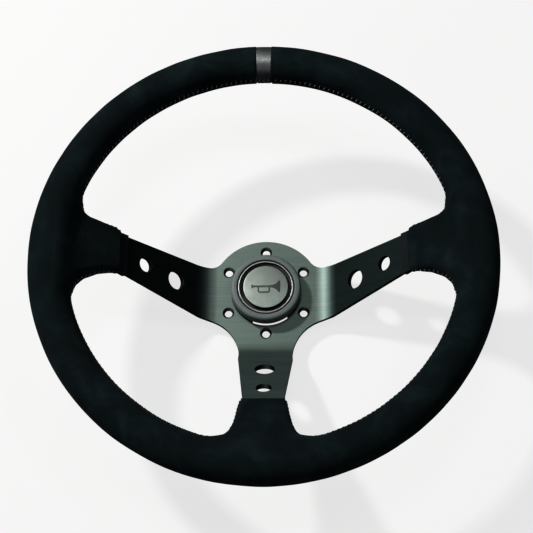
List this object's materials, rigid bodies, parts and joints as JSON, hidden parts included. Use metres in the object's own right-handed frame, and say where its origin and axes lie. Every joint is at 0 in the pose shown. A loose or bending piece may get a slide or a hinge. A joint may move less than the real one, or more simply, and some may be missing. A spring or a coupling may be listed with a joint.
{
  "type": "steering wheel",
  "caption": "Deep-dish motorsport steering wheel: bent metal spoke plate, padded suede rim with a grey top marker band, bolt-on hub and a sprung horn push in the middle.",
  "frame": {"origin": "centre of the six-bolt circle on the rear face of the hub plate", "axes": "+X to the right as the driver sees it, +Y towards the marker band at twelve o'clock, +Z along the steering column towards the driver"},
  "size_m": [0.35, 0.3499, 0.1135],
  "materials": {
    "anodised_plate": "brushed and black anodised",
    "core_alloy": "mill finish",
    "rivet_alloy": "satin",
    "rim_padding": "moulded polyurethane foam",
    "suede": "napped suede",
    "grey_leather": "smooth satin leather",
    "trim_black": "thin moulded trim",
    "seam_thread": "waxed thread",
    "housing_plastic": "moulded",
    "bezel_grey": "satin dark grey",
    "gloss_rubber": "glossy black",
    "satin_disc": "satin silver",
    "spring_steel": "drawn wire",
    "contact_brass": "rolled",
    "insulator": "pressed laminate",
    "screw_steel": "zinc plated",
    "clip_steel": "blackened spring temper"
  },
  "bodies": {
    "wheel": {"spoke_plate": "anodised_plate", "rim_core": "core_alloy", "spoke_rivets": "rivet_alloy", "rim_foam": "rim_padding", "rim_cover": "suede", "web_wrap_left": "suede", "web_wrap_right": "suede", "web_wrap_lower": "suede", "web_facing_left": "suede", "web_facing_right": "suede", "web_facing_lower": "suede", "marker_band": "grey_leather", "spoke_cuff_left": "trim_black", "spoke_cuff_right": "trim_black", "spoke_cuff_lower": "trim_black", "seam_thread_upper": "seam_thread", "seam_thread_lower_left": "seam_thread", "seam_thread_lower_right": "seam_thread", "horn_housing": "housing_plastic", "horn_bezel": "bezel_grey", "horn_lip": "gloss_rubber", "return_spring": "spring_steel", "fixed_contact_left": "contact_brass", "fixed_contact_right": "contact_brass", "contact_base": "insulator", "base_screws": "screw_steel", "retaining_clips": "clip_steel", "clip_screws": "screw_steel"},
    "horn_push": {"horn_plunger": "housing_plastic", "horn_disc": "satin_disc", "moving_contact": "contact_brass", "contact_rivets": "contact_brass"}
  },
  "joints": [
    {"name": "horn_press", "type": "slide", "parent": "wheel", "child": "horn_push", "axis": [0, 0, -1], "range_m": [0, 0.002], "stiffness_N_per_m": 2000, "springref_m": -0.002, "deforming": ["return_spring"]}
  ]
}
